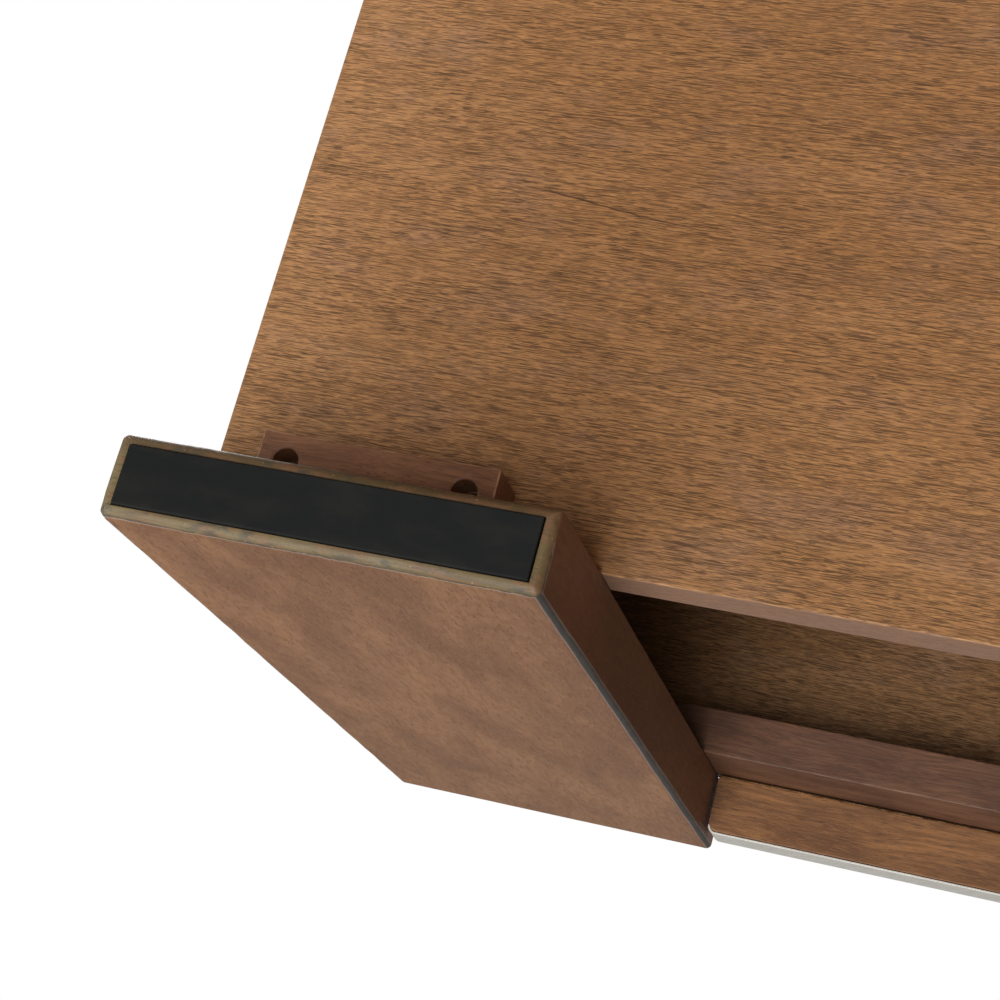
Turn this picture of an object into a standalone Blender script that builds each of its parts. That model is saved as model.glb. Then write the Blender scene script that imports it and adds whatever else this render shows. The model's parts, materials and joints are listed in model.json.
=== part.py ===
"""Low wooden album stand: four slab legs on a box with an open front and a lift-up lid.

Metres, +Z up. The origin is on the floor, under the middle of the stand. The front faces -Y,
and left and right are as seen from the front, so right is +X.
"""

import math

import bmesh
import bpy
from mathutils import Matrix, Vector

# Overall sizes
STAND_WIDTH = 0.642  # over the outer sides of the legs
STAND_DEPTH = 0.380  # over the faces of the front and back legs

# Slab legs
LEG_WIDTH = 0.146
LEG_THICK = 0.028
LEG_HEIGHT = 0.358
LEG_ARRIS = 0.0026  # rounding of every leg edge
LEG_PROUD = 0.0135  # how far the legs stand above the top
SIDE_SETBACK = 0.0045  # from a leg's outer side in to the box's side

# Non-slip pad let into each foot
PAD_MARGIN = 0.004
PAD_END_MARGIN = 0.0045
PAD_THICK = 0.003
PAD_PROUD = 0.001
PAD_ARRIS = 0.0003

# Box
SHELF_HEIGHT = 0.063  # floor to the shelf's underside
SHELF_THICK = 0.016
SIDE_THICK = 0.016
BACK_THICK = 0.016
RAIL_THICK = 0.019
RAIL_HEIGHT = 0.039
WALL_REBATE = 0.002  # depth of the rebate round the shelf that the sides and the back stand in
BOARD_ARRIS = 0.0008

# Top: a lid, a fixed hinge board behind it, and a nosing between the legs on the edge of each
TOP_THICK = 0.012
HINGE_BOARD_DEPTH = 0.058
LEG_BACK_CLEARANCE = 0.0015  # between the lid and the back of a front leg
NOSING_HEIGHT = 0.0165
NOSING_SETBACK = 0.002  # from a leg's face back to the nosing's trim
NOSING_CORNER = 0.0035  # plan radius of the trim's ends
NOSING_END_CLEARANCE = 0.0018  # between a nosing and the leg beside it
NOSING_ARRIS = 0.0007
NOSING_RAIL_CLEARANCE = 0.0009  # between the lid's nosing and the rail's face
TRIM_THICK = 0.0008

# Corner blocks under the shelf
BLOCK_LENGTH = 0.083
BLOCK_DEPTH = 0.022
BLOCK_HEIGHT = 0.021
BLOCK_SETBACK = 0.028  # from a leg's outer side in to the block's end
BLOCK_ARRIS = 0.001
BLOCK_HOLE_INSET = 0.01025  # from the block's end to a hole's axis
BLOCK_HOLE_SETBACK = 0.0126  # from the leg's back to a hole's axis
COUNTERBORE_RADIUS = 0.0045
COUNTERBORE_DEPTH = 0.012

# Fasteners: head radius, head height, shank radius and bite into the last board
BLOCK_SCREW_HEAD = 0.0038
BLOCK_SCREW_HEAD_HEIGHT = 0.0025
BLOCK_SCREW_SHANK = 0.0021
BLOCK_SCREW_BITE = 0.011
LEG_BOLT_HEAD = 0.0055
LEG_BOLT_HEAD_HEIGHT = 0.0020
LEG_BOLT_SHANK = 0.003
LEG_BOLT_OFFSET = 0.002  # from the block's middle towards the stand's middle
LEG_SCREW_HEAD = 0.0045
LEG_SCREW_HEAD_HEIGHT = 0.0026
LEG_SCREW_SHANK = 0.0022
LEG_SCREW_INSET = 0.038  # from a leg's side to a screw's axis
LEG_BITE = 0.018  # of a bolt or a screw into a leg
HEAD_CROWN = 0.8  # radius of a head's outer face, as a share of the head's radius
TIP_LENGTH = 1.5  # of a screw's tapered tip, in shank radii
TIP_RADIUS = 0.3  # of the end of that tip, in shank radii

# Butt hinges, with their leaves between the lid and the hinge board
HINGE_LENGTH = 0.050
HINGE_INSET = 0.090  # from the box's side to a hinge's middle
HINGE_KNUCKLES = 5
LEAF_THICK = 0.0012
LEAF_HEIGHT = 0.0100
LEAF_GAP = 0.0006
KNUCKLE_RADIUS = 0.0025
PIN_RADIUS = 0.0013
PIN_HEAD_RADIUS = 0.0019
PIN_HEAD_HEIGHT = 0.0012
PIN_CLEARANCE = 0.0001
NECK_CLEARANCE = 0.0003  # between the pin and the neck that joins a knuckle to its leaf
HINGE_SCREW_HEAD = 0.0026
HINGE_SCREW_SHANK = 0.0013
HINGE_SCREW_BITE = 0.011
HINGE_SCREW_INSET = 0.010  # from a leaf's end to a screw's axis
HINGE_SCREW_CLEARANCE = 0.00045

FIT_GAP = 0.0003  # between pieces that touch
ROUND_SIDES = 12
HINGE_SIDES = 16
CORNER_STEPS = 4
BEVEL_ANGLE = math.radians(40)  # edges sharper than this are eased
SMOOTH_ANGLE = math.radians(30)

# Places that follow from the sizes above
HALF_WIDTH = STAND_WIDTH / 2
HALF_DEPTH = STAND_DEPTH / 2
LEG_BACK = HALF_DEPTH - LEG_THICK  # distance of the legs' inner faces from the middle
LEG_INNER = HALF_WIDTH - LEG_WIDTH
BOX_SIDE = HALF_WIDTH - SIDE_SETBACK
BOX_FACE = LEG_BACK - FIT_GAP
SHELF_TOP = SHELF_HEIGHT + SHELF_THICK
TOP_UPPER = LEG_HEIGHT - LEG_PROUD
TOP_LOWER = TOP_UPPER - TOP_THICK
NOSING_LOWER = TOP_UPPER - NOSING_HEIGHT
WALL_BOTTOM = SHELF_TOP - WALL_REBATE + FIT_GAP
WALL_TOP = TOP_LOWER - FIT_GAP
NOSING_END = LEG_INNER - NOSING_END_CLEARANCE
NOSING_FACE = HALF_DEPTH - NOSING_SETBACK
LID_FRONT = -LEG_BACK + LEG_BACK_CLEARANCE
HINGE_JOINT = 2 * (FIT_GAP + LEAF_THICK) + LEAF_GAP  # width of the joint the leaves stand in
HINGE_Y = BOX_FACE - HINGE_BOARD_DEPTH - HINGE_JOINT / 2
HINGE_Z = TOP_UPPER + KNUCKLE_RADIUS + FIT_GAP
SIDE_NAMES = {-1: "left", 1: "right"}
END_NAMES = {-1: "front", 1: "back"}

WOOD = ("walnut_stained_solid", (0.215, 0.118, 0.062), 0.45, 0.0)
VENEER = ("walnut_veneer", (0.235, 0.125, 0.060), 0.5, 0.0)
RUBBER = ("black_rubber", (0.016, 0.017, 0.016), 0.8, 0.0)
ALUMINIUM = ("brushed_aluminium", (0.60, 0.59, 0.57), 0.35, 1.0)
STEEL = ("zinc_steel", (0.45, 0.44, 0.42), 0.35, 1.0)
BRASS = ("antique_brass", (0.33, 0.24, 0.12), 0.4, 1.0)


def clear_scene():
    for obj in list(bpy.data.objects):
        bpy.data.objects.remove(obj)


def material(finish):
    name, color, roughness, metallic = finish
    made = bpy.data.materials.get(name)
    if made is None:
        made = bpy.data.materials.new(name)
        made.use_nodes = True
        shader = made.node_tree.nodes["Principled BSDF"]
        shader.inputs["Base Color"].default_value = (*color, 1.0)
        shader.inputs["Roughness"].default_value = roughness
        shader.inputs["Metallic"].default_value = metallic
    return made


def add_mesh(name, bm, finish=None):
    """Turns a bmesh into an object with its normals outward."""
    bmesh.ops.recalc_face_normals(bm, faces=bm.faces)
    mesh = bpy.data.meshes.new(name)
    bm.to_mesh(mesh)
    bm.free()
    obj = bpy.data.objects.new(name, mesh)
    bpy.context.scene.collection.objects.link(obj)
    if finish:
        mesh.materials.append(material(finish))
    return obj


def hide_cutter(obj):
    obj.hide_render = True
    obj.display_type = "WIRE"
    return obj


def bevel(obj, width, segments):
    modifier = obj.modifiers.new("Bevel", "BEVEL")
    modifier.width = width
    modifier.segments = segments
    modifier.limit_method = "ANGLE"
    modifier.angle_limit = BEVEL_ANGLE


def combine(obj, other, operation):
    modifier = obj.modifiers.new(other.name, "BOOLEAN")
    modifier.operation = operation
    modifier.solver = "EXACT"
    modifier.object = other


def cut(obj, cutter):
    combine(obj, cutter, "DIFFERENCE")


def box(name, low, high, finish=None, arris=0.0, segments=1):
    """A block between two corners, with its origin at its middle and its edges eased by arris."""
    low, high = Vector(low), Vector(high)
    bm = bmesh.new()
    bmesh.ops.create_cube(bm, size=1.0)
    bmesh.ops.scale(bm, vec=high - low, verts=bm.verts)
    obj = add_mesh(name, bm, finish)
    obj.location = (low + high) / 2
    if arris:
        bevel(obj, arris, segments)
    return obj


def outline_board(name, outline, low_z, high_z, finish=None):
    """A board whose plan is a closed outline."""
    bm = bmesh.new()
    face = bm.faces.new([bm.verts.new((x, y, low_z)) for x, y in outline])
    raised = bmesh.ops.extrude_face_region(bm, geom=[face])["geom"]
    corners = [item for item in raised if isinstance(item, bmesh.types.BMVert)]
    bmesh.ops.translate(bm, verts=corners, vec=(0, 0, high_z - low_z))
    return add_mesh(name, bm, finish)


def turned(name, profile, origin, axis, sides, finish=None):
    """A solid turned round an axis from (radius, distance along the axis) pairs."""
    bm = bmesh.new()
    rings = []
    for radius, height in profile:
        angles = [2 * math.pi * step / sides for step in range(sides)]
        ring = [(radius * math.cos(angle), radius * math.sin(angle), height) for angle in angles]
        rings.append([bm.verts.new(point) for point in ring])
    for lower, upper in zip(rings, rings[1:]):
        for step in range(sides):
            following = (step + 1) % sides
            bm.faces.new((lower[step], lower[following], upper[following], upper[step]))
    bm.faces.new(rings[0])
    bm.faces.new(rings[-1])
    obj = add_mesh(name, bm, finish)
    obj.data.shade_smooth()
    obj.data.set_sharp_from_angle(angle=SMOOTH_ANGLE)
    turn = Vector(axis).to_track_quat("Z", "Y").to_matrix().to_4x4()
    obj.matrix_world = Matrix.Translation(origin) @ turn
    return obj


def screw_profile(head_radius, head_height, shank_radius, length):
    """A round-headed screw, its axis running from the head's outer face to the tip."""
    tip = TIP_LENGTH * shank_radius
    return [
        (HEAD_CROWN * head_radius, 0.0),
        (head_radius, head_height),
        (shank_radius, head_height),
        (shank_radius, length - tip),
        (TIP_RADIUS * shank_radius, length),
    ]


def straight_screw(name, seat, axis, head_radius, head_height, shank_radius, grip, finish):
    """Adds a screw whose head bears on a face at seat, and returns the bore that it needs.

    The bore starts at the seat and is as long as the grip, which is all that the shank crosses.
    """
    axis = Vector(axis)
    start = Vector(seat) - axis * (head_height + FIT_GAP)
    profile = screw_profile(head_radius, head_height, shank_radius, head_height + grip)
    turned(name, profile, start, axis, ROUND_SIDES, finish)
    bore_radius = shank_radius + FIT_GAP
    bore_profile = [(bore_radius, -FIT_GAP), (bore_radius, grip + FIT_GAP)]
    return hide_cutter(turned(name + "_bore", bore_profile, seat, axis, ROUND_SIDES))


def make_leg(side, end):
    """A slab with every edge rounded, and a shallow recess for its pad in the foot."""
    label = f"{END_NAMES[end]}_{SIDE_NAMES[side]}"
    xs = sorted((side * LEG_INNER, side * HALF_WIDTH))
    ys = sorted((end * LEG_BACK, end * HALF_DEPTH))
    low = (xs[0], ys[0], PAD_PROUD)
    high = (xs[1], ys[1], LEG_HEIGHT)
    leg = box(f"leg_{label}", low, high, WOOD, LEG_ARRIS, 3)

    pad_low = (xs[0] + PAD_END_MARGIN, ys[0] + PAD_MARGIN, 0.0)
    pad_high = (xs[1] - PAD_END_MARGIN, ys[1] - PAD_MARGIN, PAD_THICK)
    box(f"foot_pad_{label}", pad_low, pad_high, RUBBER, PAD_ARRIS)
    recess_low = [value - FIT_GAP for value in pad_low]
    recess_high = [value + FIT_GAP for value in pad_high]
    cut(leg, hide_cutter(box(f"foot_recess_{label}", recess_low, recess_high)))
    return leg


def make_block(side, end, leg, shelf):
    """A corner block with two counterbored screws up into the shelf and one bolt into the leg."""
    label = f"{END_NAMES[end]}_{SIDE_NAMES[side]}"
    outer_x = HALF_WIDTH - BLOCK_SETBACK
    xs = sorted((side * outer_x, side * (outer_x - BLOCK_LENGTH)))
    ys = sorted((end * BOX_FACE, end * (BOX_FACE - BLOCK_DEPTH)))
    top = SHELF_HEIGHT - FIT_GAP
    bottom = top - BLOCK_HEIGHT
    low = (xs[0], ys[0], bottom)
    high = (xs[1], ys[1], top)
    block = box(f"corner_block_{label}", low, high, WOOD, BLOCK_ARRIS)
    middle_x = sum(xs) / 2

    hole_y = end * (LEG_BACK - BLOCK_HOLE_SETBACK)
    for position, name in ((1, "outer"), (-1, "inner")):
        hole_x = middle_x + side * position * (BLOCK_LENGTH / 2 - BLOCK_HOLE_INSET)
        seat = (hole_x, hole_y, bottom + COUNTERBORE_DEPTH)
        grip = BLOCK_HEIGHT - COUNTERBORE_DEPTH + FIT_GAP + BLOCK_SCREW_BITE
        bore = straight_screw(
            f"block_screw_{label}_{name}",
            seat,
            (0, 0, 1),
            BLOCK_SCREW_HEAD,
            BLOCK_SCREW_HEAD_HEIGHT,
            BLOCK_SCREW_SHANK,
            grip,
            STEEL,
        )
        counterbore_profile = [(COUNTERBORE_RADIUS, -FIT_GAP), (COUNTERBORE_RADIUS, COUNTERBORE_DEPTH)]
        mouth = (hole_x, hole_y, bottom)
        cutter_name = f"counterbore_{label}_{name}"
        cut(block, hide_cutter(turned(cutter_name, counterbore_profile, mouth, (0, 0, 1), ROUND_SIDES)))
        cut(block, bore)
        cut(shelf, bore)

    seat = (middle_x - side * LEG_BOLT_OFFSET, end * (BOX_FACE - BLOCK_DEPTH), (top + bottom) / 2)
    bore = straight_screw(
        f"leg_bolt_{label}",
        seat,
        (0, end, 0),
        LEG_BOLT_HEAD,
        LEG_BOLT_HEAD_HEIGHT,
        LEG_BOLT_SHANK,
        BLOCK_DEPTH + FIT_GAP + LEG_BITE,
        STEEL,
    )
    cut(block, bore)
    cut(leg, bore)


def fasten_leg(side, end, leg, board, board_thick):
    """Two screws from inside the box, through the rail or the back, into the top of a leg."""
    label = f"{END_NAMES[end]}_{SIDE_NAMES[side]}"
    middle_x = side * (LEG_INNER + HALF_WIDTH) / 2
    height = WALL_TOP - RAIL_HEIGHT / 2
    for position, name in ((1, "outer"), (-1, "inner")):
        seat_x = middle_x + side * position * (LEG_WIDTH / 2 - LEG_SCREW_INSET)
        seat = (seat_x, end * (BOX_FACE - board_thick), height)
        bore = straight_screw(
            f"leg_screw_{label}_{name}",
            seat,
            (0, end, 0),
            LEG_SCREW_HEAD,
            LEG_SCREW_HEAD_HEIGHT,
            LEG_SCREW_SHANK,
            board_thick + FIT_GAP + LEG_BITE,
            STEEL,
        )
        cut(board, bore)
        cut(leg, bore)


def rounded_end(end, inset, rear_y):
    """Plan outline of a nosing or its trim: square at rear_y, with two rounded corners at its face.

    inset draws the outline in from the trim's outer face. The points run from the left side
    round the face to the right side.
    """
    radius = NOSING_CORNER - inset
    centre_x = NOSING_END - inset - radius
    centre_y = NOSING_FACE - inset - radius
    angles = [math.pi / 2 * step / CORNER_STEPS for step in range(CORNER_STEPS + 1)]
    corner = [(centre_x + radius * math.cos(angle), centre_y + radius * math.sin(angle)) for angle in angles]
    rear = [] if rear_y is None else [(centre_x + radius, end * rear_y)]
    right = rear + corner
    left = [(-x, y) for x, y in right]
    return [(x, end * y) for x, y in left + right[::-1]]


def make_nosing(name, end, rear_y):
    """A solid batten between two legs, glued to the edge of a top board."""
    outline = rounded_end(end, TRIM_THICK + FIT_GAP, rear_y)
    nosing = outline_board(name, outline, NOSING_LOWER, TOP_UPPER, WOOD)
    bevel(nosing, NOSING_ARRIS, 1)
    return nosing


def rebate_for_rail(nosing):
    """Cuts the lid's nosing away behind, so that its lower part hangs clear of the rail's face."""
    low = (-LEG_INNER, -BOX_FACE - NOSING_RAIL_CLEARANCE, 0.0)
    high = (LEG_INNER, 0.0, TOP_LOWER)
    cut(nosing, hide_cutter(box("nosing_rebate", low, high)))


def make_trim(name, end):
    """A thin metal strip on a nosing's face, bent round its two corners."""
    outer = rounded_end(end, 0.0, None)
    inner = rounded_end(end, TRIM_THICK, None)
    return outline_board(name, outer + inner[::-1], NOSING_LOWER, TOP_UPPER, ALUMINIUM)


def make_leaf(name, direction, middle_x, knuckles):
    """A hinge leaf: a plate standing in the joint and the knuckles that belong to it.

    direction is -1 for the lid's leaf and +1 for the hinge board's.
    """
    pitch = HINGE_LENGTH / HINGE_KNUCKLES
    near_y = HINGE_Y + direction * LEAF_GAP / 2
    ys = sorted((near_y, near_y + direction * LEAF_THICK))
    half = HINGE_LENGTH / 2
    low = (middle_x - half, ys[0], TOP_UPPER - LEAF_HEIGHT)
    high = (middle_x + half, ys[1], TOP_UPPER)
    leaf = box(name, low, high, BRASS)
    for index in knuckles:
        start = middle_x - half + index * pitch + FIT_GAP / 2
        end = start + pitch - FIT_GAP
        neck_low = (start, ys[0], TOP_UPPER - LEAF_THICK)
        neck_high = (end, ys[1], HINGE_Z - PIN_RADIUS - NECK_CLEARANCE)
        neck = box(f"{name}_neck_{index}", neck_low, neck_high)
        tube_profile = [(KNUCKLE_RADIUS, 0.0), (KNUCKLE_RADIUS, end - start)]
        tube_start = (start, HINGE_Y, HINGE_Z)
        tube = turned(f"{name}_knuckle_{index}", tube_profile, tube_start, (1, 0, 0), HINGE_SIDES)
        combine(leaf, hide_cutter(neck), "UNION")
        combine(leaf, hide_cutter(tube), "UNION")
    bore_radius = (PIN_RADIUS + PIN_CLEARANCE) / math.cos(math.pi / HINGE_SIDES)
    bore_profile = [(bore_radius, -FIT_GAP), (bore_radius, HINGE_LENGTH + FIT_GAP)]
    bore_start = (middle_x - half, HINGE_Y, HINGE_Z)
    cut(leaf, hide_cutter(turned(f"{name}_pin_bore", bore_profile, bore_start, (1, 0, 0), HINGE_SIDES)))
    return leaf


def fasten_leaf(label, direction, middle_x, leaf, board):
    """Two flat-headed screws, flush in the leaf, into the edge of the board behind it."""
    head_y = HINGE_Y + direction * LEAF_GAP / 2
    height = TOP_UPPER - LEAF_HEIGHT / 2
    depth = LEAF_THICK + FIT_GAP + HINGE_SCREW_BITE
    for position, name in SIDE_NAMES.items():
        origin = (middle_x + position * (HINGE_LENGTH / 2 - HINGE_SCREW_INSET), head_y, height)
        axis = (0, direction, 0)
        profile = [
            (HINGE_SCREW_HEAD, 0.0),
            (HINGE_SCREW_SHANK, LEAF_THICK),
            (HINGE_SCREW_SHANK, depth - TIP_LENGTH * HINGE_SCREW_SHANK),
            (TIP_RADIUS * HINGE_SCREW_SHANK, depth),
        ]
        turned(f"hinge_screw_{label}_{name}", profile, origin, axis, ROUND_SIDES, BRASS)
        wider = HINGE_SCREW_HEAD + HINGE_SCREW_CLEARANCE
        narrower = HINGE_SCREW_SHANK + HINGE_SCREW_CLEARANCE
        bore_profile = [
            (wider, -FIT_GAP),
            (wider, 0.0),
            (narrower, LEAF_THICK),
            (narrower, depth + FIT_GAP),
        ]
        bore = hide_cutter(turned(f"hinge_bore_{label}_{name}", bore_profile, origin, axis, ROUND_SIDES))
        cut(leaf, bore)
        cut(board, bore)


def make_hinge(side, lid, hinge_board):
    """A butt hinge between the lid and the hinge board, with its screws and its pin."""
    middle_x = side * (BOX_SIDE - HINGE_INSET)
    name = SIDE_NAMES[side]
    board_knuckles = range(0, HINGE_KNUCKLES, 2)
    lid_knuckles = range(1, HINGE_KNUCKLES, 2)
    lid_leaf = make_leaf(f"hinge_lid_leaf_{name}", -1, middle_x, lid_knuckles)
    board_leaf = make_leaf(f"hinge_board_leaf_{name}", 1, middle_x, board_knuckles)
    fasten_leaf(f"lid_{name}", -1, middle_x, lid_leaf, lid)
    fasten_leaf(f"board_{name}", 1, middle_x, board_leaf, hinge_board)

    reach = HINGE_LENGTH / 2 + FIT_GAP
    pin_profile = [
        (PIN_HEAD_RADIUS, -reach - PIN_HEAD_HEIGHT),
        (PIN_HEAD_RADIUS, -reach),
        (PIN_RADIUS, -reach),
        (PIN_RADIUS, reach),
        (PIN_HEAD_RADIUS, reach),
        (PIN_HEAD_RADIUS, reach + PIN_HEAD_HEIGHT),
    ]
    turned(f"hinge_pin_{name}", pin_profile, (middle_x, HINGE_Y, HINGE_Z), (1, 0, 0), HINGE_SIDES, BRASS)
    return lid_leaf


def rebate_for_walls(shelf):
    """Cuts a rebate along the shelf's two ends and its back, with a gap to the walls in it."""
    reach = HALF_WIDTH
    bottom = SHELF_TOP - WALL_REBATE
    top = SHELF_TOP + WALL_REBATE
    inner_x = BOX_SIDE - SIDE_THICK - FIT_GAP
    inner_y = BOX_FACE - BACK_THICK - FIT_GAP
    cut(shelf, hide_cutter(box("left_rebate", (-reach, -reach, bottom), (-inner_x, reach, top))))
    cut(shelf, hide_cutter(box("right_rebate", (inner_x, -reach, bottom), (reach, reach, top))))
    cut(shelf, hide_cutter(box("back_rebate", (-reach, inner_y, bottom), (reach, reach, top))))


def hang_on_axis(pieces):
    """Parents the lid and what turns with it to an empty on the hinge axis."""
    pivot = bpy.data.objects.new("lid_pivot", None)
    pivot.location = (0, HINGE_Y, HINGE_Z)
    bpy.context.scene.collection.objects.link(pivot)
    bpy.context.view_layer.update()
    for piece in pieces:
        piece.parent = pivot
        piece.matrix_parent_inverse = pivot.matrix_world.inverted()


def board(name, low, high):
    return box(name, low, high, VENEER, BOARD_ARRIS)


def build():
    clear_scene()
    shelf = board("shelf", (-BOX_SIDE, -BOX_FACE, SHELF_HEIGHT), (BOX_SIDE, BOX_FACE, SHELF_TOP))
    rebate_for_walls(shelf)
    back_y = BOX_FACE - BACK_THICK
    back = board("back_panel", (-BOX_SIDE, back_y, WALL_BOTTOM), (BOX_SIDE, BOX_FACE, WALL_TOP))
    for side in SIDE_NAMES:
        xs = sorted((side * BOX_SIDE, side * (BOX_SIDE - SIDE_THICK)))
        low = (xs[0], -BOX_FACE, WALL_BOTTOM)
        board(f"side_panel_{SIDE_NAMES[side]}", low, (xs[1], back_y - FIT_GAP, WALL_TOP))
    rail_end = BOX_SIDE - SIDE_THICK - FIT_GAP
    rail_low = (-rail_end, -BOX_FACE, WALL_TOP - RAIL_HEIGHT)
    rail = board("front_rail", rail_low, (rail_end, -BOX_FACE + RAIL_THICK, WALL_TOP))

    for end, wall, wall_thick in ((-1, rail, RAIL_THICK), (1, back, BACK_THICK)):
        for side in SIDE_NAMES:
            leg = make_leg(side, end)
            make_block(side, end, leg, shelf)
            fasten_leg(side, end, leg, wall, wall_thick)

    lid_low = (-BOX_SIDE, LID_FRONT, TOP_LOWER)
    lid = board("lid_panel", lid_low, (BOX_SIDE, HINGE_Y - HINGE_JOINT / 2, TOP_UPPER))
    hinge_board_low = (-BOX_SIDE, HINGE_Y + HINGE_JOINT / 2, TOP_LOWER)
    hinge_board = board("hinge_board", hinge_board_low, (BOX_SIDE, BOX_FACE, TOP_UPPER))
    lid_nosing = make_nosing("lid_nosing", -1, LID_FRONT - FIT_GAP)
    rebate_for_rail(lid_nosing)
    make_nosing("back_nosing", 1, BOX_FACE + FIT_GAP)
    lid_trim = make_trim("lid_nosing_trim", -1)
    make_trim("back_nosing_trim", 1)
    leaves = [make_hinge(side, lid, hinge_board) for side in SIDE_NAMES]
    lid_screws = [obj for obj in bpy.data.objects if obj.name.startswith("hinge_screw_lid_")]
    hang_on_axis([lid, lid_nosing, lid_trim, *leaves, *lid_screws])


build()
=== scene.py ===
"""Looks of the low wooden album stand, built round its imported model.

Metres, +Z up. The stand's front faces -Y, and right is +X. Every shaped piece is a surface worked
out with numpy from the box of the CAD node that it stands for, so it lies where the CAD lies.
"""

import json
import math

import bpy
import numpy as np
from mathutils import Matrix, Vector


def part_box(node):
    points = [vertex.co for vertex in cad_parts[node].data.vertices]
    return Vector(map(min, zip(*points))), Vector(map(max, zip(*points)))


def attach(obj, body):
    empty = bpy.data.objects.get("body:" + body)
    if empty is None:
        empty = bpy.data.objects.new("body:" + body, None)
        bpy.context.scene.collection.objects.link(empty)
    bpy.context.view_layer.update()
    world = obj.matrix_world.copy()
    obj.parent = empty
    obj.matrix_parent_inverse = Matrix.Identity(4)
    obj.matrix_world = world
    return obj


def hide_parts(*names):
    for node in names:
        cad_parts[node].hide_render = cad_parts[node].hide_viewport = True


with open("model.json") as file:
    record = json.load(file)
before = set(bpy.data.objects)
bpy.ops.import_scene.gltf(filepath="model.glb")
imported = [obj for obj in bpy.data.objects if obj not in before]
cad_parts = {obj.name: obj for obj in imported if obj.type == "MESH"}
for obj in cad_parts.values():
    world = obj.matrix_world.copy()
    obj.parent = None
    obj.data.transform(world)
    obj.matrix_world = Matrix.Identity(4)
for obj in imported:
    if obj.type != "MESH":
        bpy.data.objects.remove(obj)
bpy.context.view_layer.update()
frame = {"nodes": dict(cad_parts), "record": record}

ENDS = {"front": -1, "back": 1}
SIDES = {"left": -1, "right": 1}
LEG_PLACES = [(end, side) for end in ENDS for side in SIDES]
CORNERS = ((1, 1), (-1, 1), (-1, -1), (1, -1))  # signs of a rectangle's corners, anticlockwise

# Shapes
LEG_ARRIS = 0.0024
LEG_INNER_ARRIS = 0.0005  # of the leg's one arris that lies against the box and the nosing
FOOT_ARRIS = 0.0032  # rounding of the foot's rim
FOOT_STEPS = 7  # faces round that rim
FOOT_LIP = 0.0002  # chamfer round the mouth of the pad's recess
PAD_GAP = 0.0003  # between a pad and the recess that it lies in
PAD_ARRIS = 0.0004
BOARD_ARRIS = 0.0007
BLOCK_ARRIS = 0.0009
RAIL_ARRIS = 0.0005
NOSING_EDGE = 0.0005  # rounding of a nosing's arrises round its face
NOSING_ARRIS = 0.0011  # rounding of a nosing's lower rear arris
NOSING_STEP_ARRIS = 0.0002  # rounding of the step that clears the rail
NOSING_CORNER = 0.0035  # plan rounding of a nosing's outer corners
RAIL_PLAY = 0.0009  # between the rail's face and the step in the nosing
STRIP_THICK = 0.0008
STRIP_ARRIS = 0.00015
STRIP_STEPS = 8  # round each end of a strip
STRIP_STATIONS = 60
HEAD_HEIGHT = {"leg_bolt": 0.0020, "block_screw": 0.0025, "leg_screw": 0.0026}
SHANK_RADIUS = {"leg_bolt": 0.0030, "block_screw": 0.0021, "leg_screw": 0.0022}
# A head's socket: shares of its radius and height, and how far the ring is drawn to a hexagon
SOCKET = ((0.40, 0.6, 1.0), (0.42, 0.1, 1.0), (0.48, 0.0, 0.6), (0.55, 0.0, 0.0))
CROWN_FLAT = 0.55  # share of a head's radius inside its domed edge
CROWN_RISE = 0.8  # share of a head's height that the dome takes
CROWN_START = 0.1  # radians round the dome's quarter ellipse
CROWN_PLACES = 7
BLUNT_POINT = 0.3  # share of the shank's radius
COUNTERBORE_RADIUS = 0.0045
COUNTERBORE_DEPTH = 0.012
COUNTERBORE_FLARE = 0.0004
KNUCKLE_RADIUS = 0.0025
PIN_BORE = 0.0014
KNUCKLES = 5
LEAF_GAP = 0.0006
LEAF_THICK = 0.0012
LEAF_HEIGHT = 0.0100
LEAF_ARRIS = 0.0002
NECK_ARRIS = 0.0001
NECK_GAP = 0.0002  # between a knuckle's bore and the top of its neck
KNUCKLE_EASE = 0.0003
FIT_GAP = 0.0003  # between pieces that touch
CORNER_STEPS = 6  # faces round any other rounded corner
FLAT_HOLD = 0.0004  # distance from an arris to the line of points that keeps a flat face flat
LEAST_ROUND = 0.12  # share of an arris that stays at the ends of a slab
SHARP_ANGLE = math.radians(35)

# Distances between a slab's points along X, Y and Z
LEG_PITCH = (0.012, 0.006, 0.012)
PAD_PITCH = (0.002, 0.002, 0.002)
BOARD_PITCH = (0.01, 0.01, 0.01)
RAIL_PITCH = (0.0008, 0.02, 0.02)
SHELF_PITCH = (0.0012, 0.02, 0.02)
BLOCK_PITCH = (0.0012, 0.004, 0.004)
NOSING_PITCH = 0.0008  # along X

# Wear of the arrises: a seed, the spacing of the chips and their depth
LEG_WEAR = (7, 0.016, 0.0004)
PAD_WEAR = (11, 0.006, 0.00015)
BOARD_WEAR = (3, 0.02, 0.0002)
RAIL_WEAR = (19, 0.006, 0.0005)
SHELF_WEAR = (23, 0.008, 0.0003)
BLOCK_WEAR = (41, 0.007, 0.0005)
NOSING_WEAR = (31, 0.006, 0.0006)
WEAR_WAVES = 12
WEAR_SPREAD = 5.0  # what the height of the added waves is divided by
WEAR_LEVEL = 0.25  # the part above this level counts as wear

# Camera, floor and light
CAMERA_PLACE = (-0.0021, -0.3556, -0.5998)
CAMERA_TURN = (-158.960, -13.073, 164.878)  # degrees about X, Y and Z
CAMERA_LENS = 80.1  # mm, on a sensor 36 mm wide
SENSOR = 36.0
FLOOR_DROP = 0.0005  # clear of the pads
FLOOR_SIZE = 8.0
FLOOR_SOLID = 0.6  # metres from the middle at which the floor starts to fade
FLOOR_FADED = 2.2
FILL_COLOR = (1.0, 0.985, 0.96, 1.0)
FILL_STRENGTH = 0.29
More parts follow.
